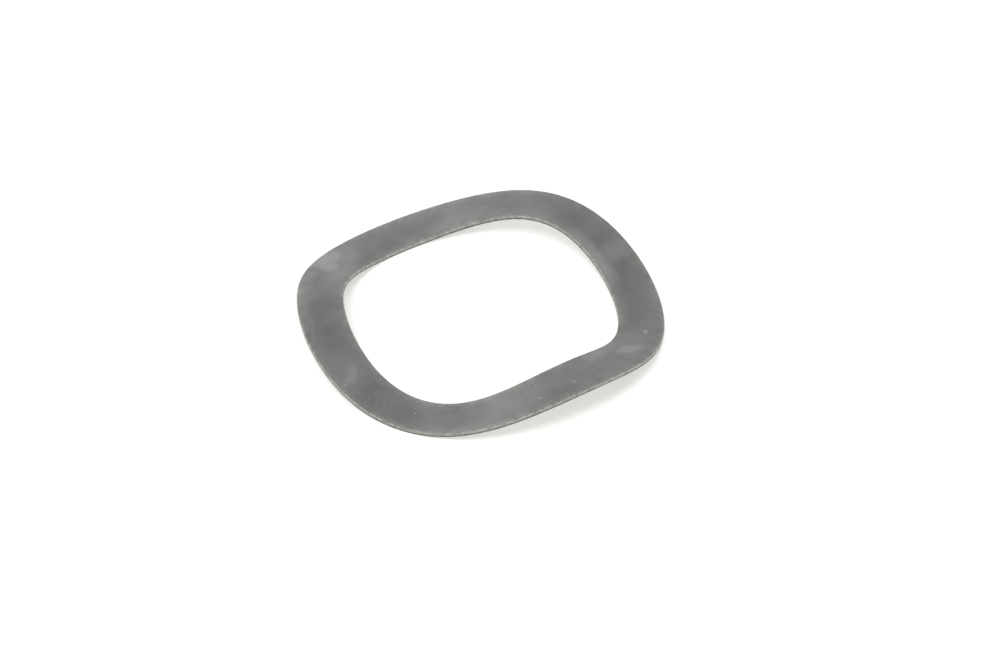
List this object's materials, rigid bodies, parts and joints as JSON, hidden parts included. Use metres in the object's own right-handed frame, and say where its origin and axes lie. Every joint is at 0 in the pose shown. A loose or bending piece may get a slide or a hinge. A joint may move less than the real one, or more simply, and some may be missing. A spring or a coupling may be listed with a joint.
{
  "type": "wave washer",
  "caption": "Flat spring steel ring pressed into smooth waves; it sits over a shaft against a bearing and gives a soft axial preload.",
  "frame": {"origin": "on the ring's axis, in the plane that the undersides of the troughs touch", "axes": "+Z is the ring's axis and the way the spring pushes, +X runs through the middle of the tallest crest"},
  "size_m": [0.041, 0.041, 0.0047],
  "materials": {
    "spring_steel": "hardened carbon spring steel, tumbled to a dull grey satin with faint clouding, dark flecks and fine scratches"
  },
  "bodies": {
    "root": {"wave_washer": "spring_steel"}
  },
  "joints": []
}
